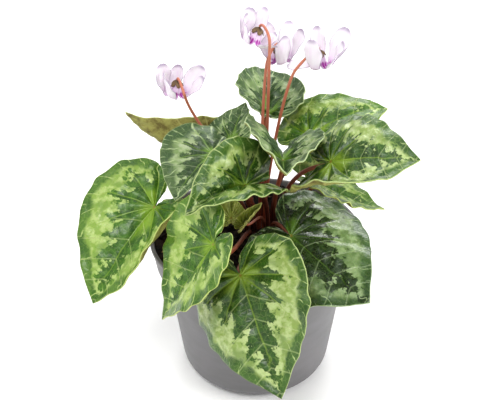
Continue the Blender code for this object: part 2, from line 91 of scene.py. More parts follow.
def sheet(columns, rows, place, rise=None):
    # a grid wrapped to a surface by place(u, v), u from -1 to 1 and v from 0 to 1; rise(u, v) is its relief
    bm = bmesh.new()
    bmesh.ops.create_grid(bm, x_segments=columns, y_segments=rows, size=1)
    uv = bm.loops.layers.uv.new("sheet")
    for face in bm.faces:
        for loop in face.loops:
            loop[uv].uv = ((loop.vert.co.x + 1) / 2, (loop.vert.co.y + 1) / 2)
    relief = bm.verts.layers.float.new("relief")
    for vert in bm.verts:
        u, v = vert.co.x, (vert.co.y + 1) / 2
        vert[relief] = rise(u, v) if rise else 0
        vert.co = place(u, v)
    return bm


def liftAlong(bm):
    # moves each point by its relief, along its normal
    bm.normal_update()
    relief = bm.verts.layers.float["relief"]
    moved = [(vert, vert.co + vert.normal * vert[relief]) for vert in bm.verts]
    for vert, spot in moved:
        vert.co = spot


def finishPiece(name, bm, materials, nodes=(), sharp=None, wall=0.0, rimMaterial=0):
    mesh = bpy.data.meshes.new(name)
    bm.to_mesh(mesh)
    bm.free()
    for m in materials:
        mesh.materials.append(m)
    mesh.shade_smooth()
    if sharp:
        mesh.set_sharp_from_angle(angle=math.radians(sharp))
    piece = bpy.data.objects.new(name, mesh)
    bpy.context.scene.collection.objects.link(piece)
    if wall:
        solid = piece.modifiers.new("wall", "SOLIDIFY")
        solid.thickness = wall
        solid.offset = -1
        solid.material_offset = 1 if len(materials) > 1 else 0
        solid.material_offset_rim = rimMaterial
    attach(piece, "root")
    if nodes:
        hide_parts(*nodes)
    return piece


print("pot")
potShape = dict(height=0.090, rim=0.060, lip=0.0014, collar=0.0572, collarHeight=0.017, body=0.052,
                base=0.044, corner=0.012, wall=0.0014, segments=160)
drainShape = dict(count=6, ring=0.023, radius=0.004, through=0.008, channelIn=0.016, channelOut=0.030,
                  channelRise=0.003, slope=0.001, notchAt=0.0343, notch=(0.013, 0.005, 0.0014))


def plasticMaterial():
    # polypropylene, injection moulded from recycled grey granulate: satin, with faint flow streaks and scuffs
    made, tree, shader = newMaterial("polypropylene_moulded")
    place = node(tree, "TexCoord").outputs["Object"]
    lying = node(tree, "Mapping", {"Vector": place, "Scale": (30, 30, 160)})
    streaks = node(tree, "TexNoise", {"Vector": lying, "Scale": 1.4, "Detail": 5})     # 24 x 4.5 mm
    clouds = node(tree, "TexNoise", {"Vector": place, "Scale": 26, "Detail": 4})       # 38 mm
    scuffs = node(tree, "TexNoise", {"Vector": place, "Scale": 320, "Detail": 3})      # 3 mm
    grey = node(tree, "blend", node(tree, "mask", streaks, 0.35, 0.7), srgb("#696869"), srgb("#6e6d6f"))
    cloudy = node(tree, "blend", node(tree, "mask", clouds, 0.45, 0.75), grey, srgb("#757375"))
    setInputs(shader, {
        "Base Color": cloudy,
        "Roughness": node(tree, "MapRange", clouds, 0.3, 0.7, 0.42, 0.56),
        "IOR": 1.49,
        "Normal": node(tree, "Bump", {"Strength": 0.12, "Distance": 0.0003, "Height": scuffs}),
    })
    return made


def spunProfile(profile, segments):
    bm = bmesh.new()
    line = [bm.verts.new((radius, 0, height)) for radius, height in profile]
    edges = [bm.edges.new(pair) for pair in zip(line, line[1:] + line[:1])]
    bmesh.ops.spin(bm, geom=line + edges, axis=(0, 0, 1), cent=(0, 0, 0), steps=segments,
                   angle=math.tau, use_merge=True, use_duplicate=False)
    bmesh.ops.remove_doubles(bm, verts=bm.verts, dist=1e-6)
    bmesh.ops.dissolve_degenerate(bm, edges=bm.edges, dist=1e-6)
    bmesh.ops.recalc_face_normals(bm, faces=bm.faces)
    return bm


def corner(centre, height, radius, turns):
    turned = [math.radians(turn) for turn in turns]
    return [(centre + radius * math.sin(t), height - radius * math.cos(t)) for t in turned]


def stepsFrom(radius, height, steps):
    return [(radius + out, height + up) for out, up in steps]


def potProfile(s, d):
    # up the outside, over the lip, down the inside and back under the base with its drain channel
    foot = s["height"] - s["collarHeight"]
    bendAt = s["base"] - s["corner"]
    outer = corner(bendAt, s["corner"], s["corner"], range(0, 85, 12))
    outer += stepsFrom(s["body"], foot, [(-0.0002, -0.0008), (0.0006, 0.0004)])
    outer += stepsFrom(s["collar"], foot, [(-0.0006, 0.0010), (0, 0.0018)])
    outer += stepsFrom(s["rim"], s["height"], [(-0.0010, -0.0034), (-0.0003, -0.0027), (0, -0.0020),
                                               (0, -0.0006), (-0.0002, -0.0001), (-0.0006, 0)])
    inner = stepsFrom(s["rim"] - s["lip"], s["height"], [(0, 0), (-0.0005, -0.0005), (-0.0008, -0.0012)])
    inner += [(s["collar"] - s["wall"], foot + 0.0026), (s["body"] - s["wall"], foot + 0.0010)]
    inner += corner(bendAt, s["corner"], s["corner"] - s["wall"], (84, 66, 45, 22, 0))
    raised = d["channelRise"] + s["wall"]
    floor = [(d["channelOut"], s["wall"]), (d["channelOut"] - d["slope"], raised),
             (d["channelIn"] + d["slope"], raised), (d["channelIn"], s["wall"]), (0, s["wall"]), (0, 0),
             (d["channelIn"] - d["slope"], 0), (d["channelIn"], d["channelRise"]),
             (d["channelOut"], d["channelRise"]), (d["channelOut"] + d["slope"], 0)]
    return outer + inner + floor


def drainCutter(d):
    bm = bmesh.new()
    notch = Matrix.Translation((d["notchAt"], 0, 0)) @ Matrix.Diagonal(d["notch"] + (1,))
    hole = Matrix.Translation((d["ring"], 0, d["channelRise"]))
    for i in range(d["count"]):
        turn = Matrix.Rotation(math.tau * i / d["count"] - math.pi / 2, 4, "Z")
        bmesh.ops.create_cone(bm, cap_ends=True, segments=32, radius1=d["radius"], radius2=d["radius"],
                              depth=d["through"], matrix=turn @ hole)
        bmesh.ops.create_cube(bm, size=1, matrix=turn @ notch)
    mesh = bpy.data.meshes.new("drain_holes")
    bm.to_mesh(mesh)
    bm.free()
    cutter = bpy.data.objects.new("drain_holes", mesh)
    bpy.context.scene.collection.objects.link(cutter)
    return cutter


def makePot(s, d):
    bm = spunProfile(potProfile(s, d), s["segments"])
    pot = finishPiece("pot_moulded", bm, [plasticMaterial()], ["pot"], sharp=40)
    cutter = drainCutter(d)
    cut = pot.modifiers.new("drain_holes", "BOOLEAN")
    cut.operation = "DIFFERENCE"
    cut.solver = "EXACT"
    cut.object = cutter
    bpy.context.view_layer.update()
    done = bpy.data.meshes.new_from_object(pot.evaluated_get(bpy.context.evaluated_depsgraph_get()))
    pot.modifiers.clear()
    pot.data = done
    bpy.data.objects.remove(cutter)
    done.shade_smooth()
    done.set_sharp_from_angle(angle=math.radians(40))


makePot(potShape, drainShape)

print("peat and tuber")
soilShape = dict(top=0.083, edge=0.0865, bump=0.0005, reach=0.0571, under=0.0765, taper=0.974, relief=0.0016,
                 crumbs=900, crumbReach=0.056, smallest=0.0006, spread=0.0016)
tuberShape = dict(centre=(0.004, 0.010, 0.070), radius=0.021, squash=0.78, crown=0.0844, dent=0.0004)


def peatMaterial(name, dark, light, fleck):
    # sphagnum peat, milled and damp: near-black fibres, a few straw-coloured bits, no gloss
    made, tree, shader = newMaterial(name)
    place = node(tree, "TexCoord").outputs["Object"]
    grains = node(tree, "TexNoise", {"Vector": place, "Scale": 420, "Detail": 6, "Roughness": 0.7})  # 2.4 mm
    clods = node(tree, "TexNoise", {"Vector": place, "Scale": 110, "Detail": 3})                     # 9 mm
    bits = node(tree, "TexVoronoi", {"Vector": place, "Scale": 330})                                 # 3 mm
    brown = node(tree, "blend", node(tree, "mask", clods, 0.42, 0.68), srgb(dark), srgb(light))
    rare = node(tree, "mask", node(tree, "SeparateColor", bits.outputs["Color"]), 0.93, 0.97)
    near = node(tree, "mask", bits, 0.42, 0.25)
    setInputs(shader, {
        "Base Color": node(tree, "blend", node(tree, "multiply", rare, near), brown, srgb(fleck)),
        "Roughness": 0.92,
        "Specular IOR Level": 0.25,
        "Normal": node(tree, "Bump", {"Strength": 0.8, "Distance": 0.0010, "Height": grains}),
    })
    return made


def soilHeight(x, y):
    s = soilShape
    out = min(math.hypot(x, y) / s["reach"], 1) ** 3
    bumps = math.sin(x / 0.009 + 1) * math.cos(y / 0.011)
    return s["top"] + (s["edge"] - s["top"]) * out + s["bump"] * bumps * (1 - out)


def makeSoil(s):
    def place(u, v):
        angle, radius = math.pi * u, s["reach"] * v
        x, y = radius * math.cos(angle), radius * math.sin(angle)
        rough = noise.fractal(Vector((x, y, 0)) / 0.006, 1.0, 2.0, 4)    # clods of 6 mm, flat at the wall
        return Vector((x, y, soilHeight(x, y) + s["relief"] * rough * min((1 - v) * 12 + 0.3, 1)))

    bm = sheet(220, 60, place)
    bmesh.ops.remove_doubles(bm, verts=bm.verts, dist=1e-6)
    skirt = bmesh.ops.extrude_edge_only(bm, edges=[e for e in bm.edges if e.is_boundary])
    for vert in (v for v in skirt["geom"] if isinstance(v, bmesh.types.BMVert)):
        vert.co = Vector((vert.co.x * s["taper"], vert.co.y * s["taper"], s["under"]))
    bmesh.ops.contextual_create(bm, geom=[e for e in bm.edges if e.is_boundary])
    bmesh.ops.recalc_face_normals(bm, faces=bm.faces)
    peat = peatMaterial("peat_milled", "#17110d", "#30231a", "#8a6a4a")
    finishPiece("peat_surface", bm, [peat], ["soil"])


def makeCrumbs(s):
    bm = bmesh.new()
    for _ in range(s["crumbs"]):
        radius = s["crumbReach"] * math.sqrt(random.random())
        angle = math.tau * random.random()
        x, y = radius * math.cos(angle), radius * math.sin(angle)
        size = s["smallest"] + s["spread"] * random.random() ** 3
        turn = Matrix.Rotation(math.tau * random.random(), 4, Vector((random.random(), random.random(), 1)))
        flat = Matrix.Diagonal((1, 0.5 + 0.5 * random.random(), 0.5, 1))
        spot = Matrix.Translation((x, y, soilHeight(x, y) + size * 0.55))
        bmesh.ops.create_icosphere(bm, subdivisions=1, radius=size, matrix=spot @ turn @ flat)
    loose = peatMaterial("peat_crumbs", "#1c140f", "#3a2a1e", "#a0845e")
    finishPiece("peat_crumbs", bm, [loose], sharp=30)


def corkMaterial():
    # corky skin of the tuber, dried: brown, cracked in small plates
    made, tree, shader = newMaterial("tuber_cork")
    place = node(tree, "TexCoord").outputs["Object"]
    cracks = node(tree, "TexVoronoi", {"Vector": place, "Scale": 420}, feature="DISTANCE_TO_EDGE")   # 2.4 mm
    tint = node(tree, "TexNoise", {"Vector": place, "Scale": 160, "Detail": 4})                      # 6 mm
    brown = node(tree, "blend", tint, srgb("#3a2018"), srgb("#5b3526"))
    setInputs(shader, {
        "Base Color": node(tree, "blend", node(tree, "mask", cracks, 0.10, 0.0), brown, srgb("#1d100c")),
        "Roughness": 0.8,
        "Normal": node(tree, "Bump", {"Strength": 0.6, "Distance": 0.0005, "Height": cracks}),
    })
    return made


def makeTuber(s):
    bm = bmesh.new()
    bmesh.ops.create_uvsphere(bm, u_segments=72, v_segments=48, radius=s["radius"])
    centre = Vector(s["centre"])
    for vert in bm.verts:
        vert.co *= 1 + 0.012 * noise.noise(vert.co / 0.004)
        vert.co.z *= s["squash"]
        vert.co += centre
        vert.co.z = min(vert.co.z, s["crown"] - s["dent"] + s["dent"] * noise.noise(vert.co / 0.002))
    finishPiece("tuber_cork", bm, [corkMaterial()], ["tuber"])


makeSoil(soilShape)
makeCrumbs(soilShape)
makeTuber(tuberShape)

print("leaves")
plainLeaf = dict(roll=0, widthLeft=1, widthRight=1, lobeLeft=1, lobeRight=1, foldLeft=10, foldRight=10,
                 curlLeft=-10, curlRight=-10, droop=15, backDroop=10, crownRing=0.0095, rise=0.45,
                 approach=0.012, upright=0, swing=(0, 0, 0), stemRadius=0.0013, look="fresh", seed=0)
leafShapes = {
    "front": dict(
        at=(-0.008, -0.068, 0.11), heading=-64, pitch=-44, roll=-27, length=0.062, widthLeft=1.05,
        widthRight=1.15, lobeLeft=0.7, lobeRight=0.7, foldLeft=19, foldRight=-1, curlLeft=21,
        curlRight=-61, droop=3, backDroop=20, swing=(-0.01, 0.006, -0.004), crown=-115, rise=0.05,
        approach=0.018, upright=0.7, look="fresh", seed=1,
    ),
    "front_right": dict(
        at=(0.018, -0.038, 0.113), heading=-49, pitch=-13, roll=-31, length=0.06, widthLeft=1.05,
        widthRight=1.0, lobeLeft=1.2, lobeRight=0.85, foldLeft=1, foldRight=1, curlLeft=-40,
        curlRight=-3, droop=-17, backDroop=9, crown=-65, look="deep", seed=2,
    ),
    "front_left": dict(
        at=(-0.021, -0.066, 0.127), heading=-175, pitch=-57, roll=8, length=0.052, widthLeft=0.95,
        widthRight=1.1, lobeLeft=0.85, lobeRight=0.85, foldLeft=21, foldRight=18, curlLeft=-32,
        curlRight=11, droop=4, backDroop=30, crown=-140, rise=0.1, approach=0.02, upright=0.8,
        look="bright", seed=3,
    ),
    "left": dict(
        at=(-0.055, -0.012, 0.114), heading=-135, pitch=-28, roll=4, length=0.062, widthLeft=0.95,
        widthRight=1.1, lobeLeft=0.6, lobeRight=1.05, foldLeft=-4, foldRight=26, curlLeft=82,
        curlRight=-24, droop=29, backDroop=10, crown=-175, look="bright", seed=4,
    ),
    "centre": dict(
        at=(-0.006, -0.036, 0.142), heading=-135, pitch=18, length=0.04, widthRight=1.1,
        lobeLeft=1.45, lobeRight=1.45, foldLeft=25, foldRight=68, curlLeft=-22, curlRight=6,
        droop=33, backDroop=27, crown=-60, crownRing=0.006, rise=0.7, look="fresh", seed=5,
    ),
    "mid_left": dict(
        at=(-0.023, -0.006, 0.144), heading=-128, pitch=-5, roll=-29, length=0.037, widthLeft=1.1,
        widthRight=1.25, lobeLeft=1.6, lobeRight=1.45, foldLeft=-6, foldRight=31, curlLeft=-8,
        curlRight=27, droop=26, backDroop=29, crown=180, crownRing=0.006, look="silver", seed=6,
    ),
    "back_left": dict(
        at=(-0.027, 0.044, 0.1165), heading=207, pitch=15, roll=-14, length=0.061, widthLeft=0.72,
        widthRight=0.5, lobeLeft=0.8, lobeRight=0.8, foldLeft=66, foldRight=66, curlLeft=0,
        curlRight=0, droop=-43, backDroop=-29, crown=155, look="bright", seed=7,
    ),
    "back_inner": dict(
        at=(-0.014, 0.025, 0.135), heading=70, pitch=42, roll=8, length=0.026, widthLeft=1.15,
        widthRight=0.9, lobeLeft=1.0, lobeRight=1.0, foldLeft=5, foldRight=12, curlLeft=-5,
        curlRight=18, droop=22, backDroop=11, crown=125, look="silver", seed=8,
    ),
    "back": dict(
        at=(0.007, 0.042, 0.144), heading=85, pitch=16, roll=-18, length=0.042, widthLeft=1.1,
        lobeLeft=0.6, lobeRight=0.6, foldLeft=39, foldRight=39, curlLeft=-15, curlRight=19,
        droop=11, backDroop=-6, crown=90, look="silver", seed=9,
    ),
    "folded": dict(
        at=(0.014, -0.012, 0.143), heading=-91, pitch=8, roll=5, length=0.047, widthRight=1.15,
        lobeLeft=1.15, lobeRight=1.15, foldLeft=49, foldRight=48, curlLeft=-10, curlRight=-3,
        droop=-29, backDroop=5, crown=-10, crownRing=0.006, look="silver", seed=10,
    ),
    "back_right": dict(
        at=(0.03, 0.024, 0.139), heading=10, pitch=35, roll=-15, length=0.049, widthLeft=1.0,
        widthRight=1.05, lobeLeft=1.15, lobeRight=1.15, foldLeft=1, foldRight=4, curlLeft=-8,
        curlRight=-11, droop=45, backDroop=7, crown=55, rise=0.75, look="bright", seed=11,
    ),
    "right": dict(
        at=(0.038, -0.022, 0.148), heading=-33, pitch=27, roll=-41, length=0.047, widthLeft=1.25,
        widthRight=1.25, lobeLeft=1.05, lobeRight=1.05, foldLeft=0, foldRight=6, curlLeft=-29,
        curlRight=62, droop=36, backDroop=10, crown=-22, rise=0.75, look="fresh", seed=12,
    ),
    "right_low": dict(
        at=(0.034, 0.012, 0.115), heading=-7, pitch=-28, roll=5, length=0.042, foldLeft=13,
        foldRight=11, curlLeft=-3, curlRight=12, droop=-14, crown=15, look="bright", seed=13,
    ),
    "young": dict(
        at=(-0.006, -0.031, 0.1155), heading=10, pitch=52, roll=-20, length=0.015, foldLeft=66,
        foldRight=50, curlLeft=15, curlRight=15, droop=-4, crown=-80, stemRadius=0.0008,
        approach=0.006, crownRing=0.006, widthLeft=0.7, widthRight=0.7, look="young", seed=14,
    ),
    "young_upright": dict(
        at=(-0.0137, -0.012, 0.1069), heading=100, pitch=75, length=0.014, crown=-135,
        stemRadius=0.0008, approach=0.006, rise=0.7, crownRing=0.006, look="young", seed=15,
    ),
}

bladeShape = dict(thickness=0.0007, columns=132, rows=40, sinus=8, veins=(0, 38, 74, 112, 150, 180),
                  veinDepth=0.00035, veinWidth=0.0007, quilt=0.0010, tooth=0.012, ripple=0.0011,
                  blister=0.0007, blisterSize=0.0045, uneven=0.0005, fullGrown=0.040)
bladeMarks = ("share", "vein", "pinnate", "arrow", "rimMm", "outMm", "gapMm", "sector")


def leafAxes(leaf):
    heading, pitch, roll = (math.radians(leaf[key]) for key in ("heading", "pitch", "roll"))
    tip = Vector((math.cos(heading) * math.cos(pitch), math.sin(heading) * math.cos(pitch), math.sin(pitch)))
    level = Vector((math.sin(heading), -math.cos(heading), 0))
    right = level * math.cos(roll) + level.cross(tip) * math.sin(roll)
    return right, tip, right.cross(tip)


def leafReach(angle):
    # rim's distance from the stalk as a share of the length: a rounded heart with a drawn-out tip
    away = abs(angle)
    return 0.6 * (1 - (away / 180) ** 3) ** 0.6 + 0.4 * math.exp(-away / 22)


def arcStep(start, curvature, distance):
    # along and up, for a line that sets out at an angle and bends evenly
    curvature = curvature if abs(curvature) > 1e-4 else 1e-4
    end = start + curvature * distance
    return (math.sin(end) - math.sin(start)) / curvature, (math.cos(start) - math.cos(end)) / curvature


def leafPlace(leaf, axes, angle, out):
    # out is metres from the stalk along a straight line in the flat blade
    side = "Right" if angle >= 0 else "Left"
    across = out * abs(math.sin(math.radians(angle))) * leaf["width" + side]
    along = out * math.cos(math.radians(angle))
    curl = math.radians(leaf["curl" + side]) / (0.56 * leaf["length"])
    x, z = arcStep(math.radians(leaf["fold" + side]), curl, across)
    if along >= 0:
        bend = -math.radians(leaf["droop"]) / leaf["length"]
        y, lift = arcStep(0, bend, along)
        tilt = bend * along
    else:
        along *= -leaf["lobe" + side]
        bend = -2 * math.radians(leaf["backDroop"]) / leaf["length"]
        y, lift = arcStep(0, bend, along)
        y, tilt = -y, -bend * along
    right, tip, face = axes
    x = x if angle >= 0 else -x
    y -= z * math.sin(tilt)
    lift += z * math.cos(tilt)
    return Vector(leaf["at"]) + right * x + tip * y + face * lift


def veinPhase(angle, share):
    # whole numbers lie on the main veins, which sweep a little towards the tip as they run out
    veins = bladeShape["veins"]
    swept = abs(angle) + 9 * share ** 2 * math.sin(math.radians(abs(angle)))
    return math.copysign(float(np.interp(swept, veins, range(len(veins)))), angle)


def bladeSpot(leaf, u, v):
    # where a point of the sheet lies in the flat blade, in metres, and among its veins
    s = bladeShape
    angle, share = u * (180 - s["sinus"]), v ** 0.8
    phase = veinPhase(angle, share)
    uneven = noise.noise(Vector((phase * 1.7, leaf["seed"], 0.5)))
    scallop = math.cos(math.tau * 2 * phase + 2 * uneven) * (0.5 + uneven)
    margin = leafReach(angle) * (1 + s["tooth"] * scallop * share ** 6) * leaf["length"]
    out = margin * share
    low, high = next(pair for pair in zip(s["veins"], s["veins"][1:]) if abs(angle) <= pair[1])
    return dict(angle=angle, share=share, phase=phase, out=out, margin=margin,
                x=out * math.sin(math.radians(angle)), y=out * math.cos(math.radians(angle)),
                gap=max(out * math.radians(high - low), 1e-5))


def bladeRise(leaf, u, v):
    # veins lie in grooves, the skin swells between them and blisters, and the rim waves
    s = bladeShape
    spot = bladeSpot(leaf, u, v)
    phase, share, seed = spot["phase"], spot["share"], leaf["seed"]
    fromVein = abs((phase + 0.5) % 1 - 0.5) * spot["gap"]
    groove = math.exp(-(fromVein / s["veinWidth"]) ** 2) * min(spot["out"] / 0.004, 1) * (1 - share ** 8)
    swell = math.sin(math.pi * (phase % 1)) ** 2 * math.sin(math.pi * min(share * 1.1, 1))
    wave = math.sin(math.tau * phase * 1.5 + seed) * (0.6 + noise.noise(Vector((phase, seed, 3))))
    pillow = noise.noise(Vector((spot["x"] / s["blisterSize"], spot["y"] / s["blisterSize"], seed)))
    lift = s["quilt"] * swell + s["ripple"] * share ** 5 * wave + s["blister"] * pillow * min(share * 3, 1)
    lift *= min(leaf["length"] / s["fullGrown"], 1)
    return lift - s["veinDepth"] * groove + s["uneven"] * share * noise.noise(Vector((u * 5, v * 5, 0)))


def markBlade(bm, leaf, sectors):
    # writes what the leaf's materials read: distances to veins and rim, and the dark arrow and star
    uv = bm.loops.layers.uv["sheet"]
    flat = bm.loops.layers.uv.new("flat")
    layers = [bm.loops.layers.float.new(key) for key in bladeMarks]
    for loop in (loop for face in bm.faces for loop in face.loops):
        spot = bladeSpot(leaf, loop[uv].uv.x * 2 - 1, loop[uv].uv.y)
        width, height = abs(spot["x"]) / leaf["length"], spot["y"] / leaf["length"]
        pinnate = (height - 0.62 * width - 0.16) / 0.2
        arms = 0.5 + 0.5 * math.cos(math.tau * spot["phase"])
        arrow = (0.27 * max(1 - height, 0) ** 1.2 + 0.012) * (0.75 + 0.5 * (pinnate % 1)) - width
        star = 0.27 + 0.13 * arms ** 2 - spot["out"] / leaf["length"]
        values = (spot["share"], spot["phase"], pinnate, max(arrow if height > -0.05 else -1, star),
                  (spot["margin"] - spot["out"]) / mm, spot["out"] / mm, spot["gap"] / mm,
                  sectors[int(math.floor(spot["phase"])) + len(bladeShape["veins"])])
        for layer, value in zip(layers, values):
            loop[layer] = value
        loop[flat].uv = (spot["x"] / 0.1 + leaf["seed"], spot["y"] / 0.1)


def faceAway(bm, centre):
    # turns an open shell so that the face nearest to its centre looks away from it
    near = min(bm.faces, key=lambda f: (f.calc_center_median() - centre).length)
    if near.normal.dot(near.calc_center_median() - centre) < 0:
        bmesh.ops.reverse_faces(bm, faces=bm.faces)


def makeBlade(name, leaf, materials):
    s = bladeShape
    axes = leafAxes(leaf)
    sectors = [random.random() for _ in range(2 * len(s["veins"]))]

    def place(u, v):
        spot = bladeSpot(leaf, u, v)
        return leafPlace(leaf, axes, spot["angle"], spot["out"])

    bm = sheet(s["columns"], s["rows"], place, lambda u, v: bladeRise(leaf, u, v))
    markBlade(bm, leaf, sectors)
    bmesh.ops.remove_doubles(bm, verts=bm.verts, dist=1e-6)
    bmesh.ops.recalc_face_normals(bm, faces=bm.faces)
    centre = min(bm.faces, key=lambda f: (f.calc_center_median() - Vector(leaf["at"])).length)
    if centre.normal.dot(axes[2]) < 0:
        bmesh.ops.reverse_faces(bm, faces=bm.faces)
    liftAlong(bm)
    finishPiece("blade_" + name, bm, materials, ["leaf_" + name],
                wall=s["thickness"], rimMaterial=2)


looks = {
    "fresh": dict(
        dark="#345818", darker="#23400f", pale="#a9b97f", paler="#869b52", margin="#46662a",
        marginDark="#30501c", lime="#8aa53c", vein="#b9c78a", edge="#7d9049", gloss=0.32, coat=0.18,
    ),
    "bright": dict(
        dark="#456f1a", darker="#2d5311", pale="#a9bd72", paler="#84a047", margin="#55782a",
        marginDark="#3d6220", lime="#8bab35", vein="#bccb82", edge="#97a54c", gloss=0.33, coat=0.18,
    ),
    "silver": dict(
        dark="#345024", darker="#243c1a", pale="#9fae84", paler="#7a915a", margin="#50673c",
        marginDark="#3d5730", lime="#7d9f42", vein="#b8c898", edge="#8c9d68", gloss=0.42, coat=0.12,
    ),
    "deep": dict(
        dark="#213a14", darker="#16290d", pale="#8ea376", paler="#68804f", margin="#445f36",
        marginDark="#304b28", lime="#567824", vein="#a8bc8c", edge="#7b915c", gloss=0.25, coat=0.5,
    ),
    "young": dict(
        dark="#84903a", darker="#6e7c30", pale="#adb65a", paler="#9ba84e", margin="#929e44",
        marginDark="#84903c", lime="#abba5a", vein="#c6cd82", edge="#b6ba62", gloss=0.45, coat=0.1,
    ),
}


def fromLine(tree, phase):
    # 0 where phase is a whole number, 0.5 midway between two
    wrapped = node(tree, "fract", node(tree, "add", phase, 0.5))
    return node(tree, "absolute", node(tree, "subtract", wrapped, 0.5))


def leafMaterial(name, look):
    # waxy upper skin of a cyclamen leaf, as grown: its silver marks are air under the skin, so they change
    # the colour and not the gloss
    made, tree, shader = newMaterial(name)
    share, vein, pinnate, arrow, rim, out, gap, sector = (
        node(tree, "Attribute", attribute_name=key).outputs["Fac"] for key in bladeMarks)
    flat = node(tree, "UVMap", uv_map="flat")                                 # 1 is 100 mm
    polar = node(tree, "Mapping", {"Vector": node(tree, "UVMap", uv_map="sheet"), "Scale": (75, 5, 1)})
    streak = node(tree, "TexNoise", {"Vector": polar, "Scale": 1, "Detail": 3, "Roughness": 0.55})
    broad = node(tree, "TexNoise", {"Vector": flat, "Scale": 9, "Detail": 2})                        # 11 mm
    blotch = node(tree, "TexNoise", {"Vector": flat, "Scale": 24, "Detail": 4, "Roughness": 0.55})   # 4 mm
    fine = node(tree, "TexNoise", {"Vector": flat, "Scale": 130, "Detail": 3})                       # 0.8 mm
    net = node(tree, "TexVoronoi", {"Vector": flat, "Scale": 42}, feature="DISTANCE_TO_EDGE")        # 2.4 mm
    # jag makes every boundary ragged: about 0 on average, drawn out along the veins
    jag = node(tree, "multiply_add", streak, 0.26, -0.38)
    jag = node(tree, "multiply_add", blotch, 0.44, jag)
    jag = node(tree, "multiply_add", fine, 0.06, jag)
    sway = node(tree, "multiply_add", broad, 0.5, -0.25)
    sway = node(tree, "multiply", sway, node(tree, "mask", share, 0.3, 0.9))
    vein = node(tree, "add", vein, sway)
    fromVein = fromLine(tree, vein)
    veinMm = node(tree, "multiply", fromVein, gap)
    branch = fromLine(tree, node(tree, "multiply", vein, 2))
    branchMm = node(tree, "multiply", branch, node(tree, "multiply", gap, 0.5))
    twig = fromLine(tree, node(tree, "multiply", vein, 4))
    twigMm = node(tree, "multiply", twig, node(tree, "multiply", gap, 0.25))
    # silver band with green islands between the veins
    mottled = node(tree, "mask", node(tree, "add", blotch, jag), 0.36, 0.62)
    colour = node(tree, "blend", mottled, srgb(look["pale"]), srgb(look["paler"]))
    between = node(tree, "mask", node(tree, "add", fromVein, jag), 0.20, 0.36)
    island = node(tree, "multiply", between, node(tree, "mask", rim, 3, 6))
    island = node(tree, "multiply", island, node(tree, "mask", broad, 0.44, 0.58))
    green = node(tree, "blend", blotch, srgb(look["margin"]), srgb(look["paler"]))
    colour = node(tree, "blend", node(tree, "multiply", island, 0.8), colour, green)
    # green margin, wide between the veins
    inset = node(tree, "multiply_add", fromVein, -7, rim)
    inset = node(tree, "multiply_add", jag, 16, inset)
    clouded = node(tree, "mask", broad, 0.4, 0.62)
    marginGreen = node(tree, "blend", clouded, srgb(look["margin"]), srgb(look["marginDark"]))
    colour = node(tree, "blend", node(tree, "mask", inset, 5.4, 2.2), colour, marginGreen)
    # dark arrow and star in the middle
    inner = node(tree, "mask", node(tree, "add", arrow, jag), -0.014, 0.022)
    patchy = node(tree, "mask", blotch, 0.38, 0.64)
    darkGreen = node(tree, "blend", patchy, srgb(look["darker"]), srgb(look["dark"]))
    colour = node(tree, "blend", inner, colour, darkGreen)
    # lime wedges round the stalk
    wedge = node(tree, "multiply_add", jag, 0.6, share)
    wedge = node(tree, "multiply_add", sector, -0.34, wedge)
    wedge = node(tree, "multiply", node(tree, "mask", wedge, 0.12, -0.08), 0.75)
    colour = node(tree, "blend", wedge, colour, srgb(look["lime"]))
    # veins: lime inside, cream where they cross the margin
    main = node(tree, "mask", veinMm, 0.55, 0.18)
    main = node(tree, "multiply", main, node(tree, "mask", share, 1.02, 0.55))
    colour = node(tree, "blend", node(tree, "multiply", main, 0.45), colour, srgb(look["lime"]))
    side = node(tree, "mask", node(tree, "multiply", fromLine(tree, pinnate), 9), 0.45, 0.15)
    side = node(tree, "multiply", side, node(tree, "mask", node(tree, "absolute", vein), 1.0, 0.9))
    side = node(tree, "multiply", side, node(tree, "mask", share, 0.10, 0.2))
    colour = node(tree, "blend", node(tree, "multiply", side, 0.3), colour, srgb(look["vein"]))
    branches = node(tree, "mask", branchMm, 0.45, 0.08)
    branches = node(tree, "multiply", branches, node(tree, "mask", rim, 10, 5))
    twigs = node(tree, "mask", twigMm, 0.35, 0.08)
    twigs = node(tree, "multiply", twigs, node(tree, "mask", rim, 3.2, 2.0))
    crossing = node(tree, "maximum", branches, node(tree, "multiply", twigs, 0.7))
    crossing = node(tree, "multiply", crossing, node(tree, "mask", blotch, 0.36, 0.56))
    colour = node(tree, "blend", node(tree, "multiply", crossing, 0.8), colour, srgb(look["vein"]))
    threads = node(tree, "multiply", node(tree, "mask", net, 0.06, 0.01), 0.28)
    colour = node(tree, "blend", threads, colour, srgb(look["paler"]))
    rimLine = node(tree, "multiply", node(tree, "mask", rim, 0.4, 0.15), 0.5)
    colour = node(tree, "blend", rimLine, colour, srgb(look["edge"]))
    colour = node(tree, "blend", node(tree, "mask", out, 1.0, 0.4), colour, srgb("#8a8038"))
    height = node(tree, "multiply_add", net, 0.5, node(tree, "multiply", blotch, 0.5))
    height = node(tree, "multiply_add", node(tree, "maximum", main, side), -0.3, height)
    setInputs(shader, {
        "Base Color": colour,
        "Roughness": node(tree, "MapRange", blotch, 0.3, 0.7, look["gloss"] - 0.06, look["gloss"] + 0.12),
        "IOR": 1.45,
        "Coat Weight": look["coat"],
        "Coat Roughness": 0.22,
        "Subsurface Weight": 0.10,
        "Subsurface Radius": (0.4, 1.0, 0.2),
        "Subsurface Scale": 0.0006,
        "Normal": node(tree, "Bump", {"Strength": 0.6, "Distance": 0.0010, "Height": height}),
    })
    return made


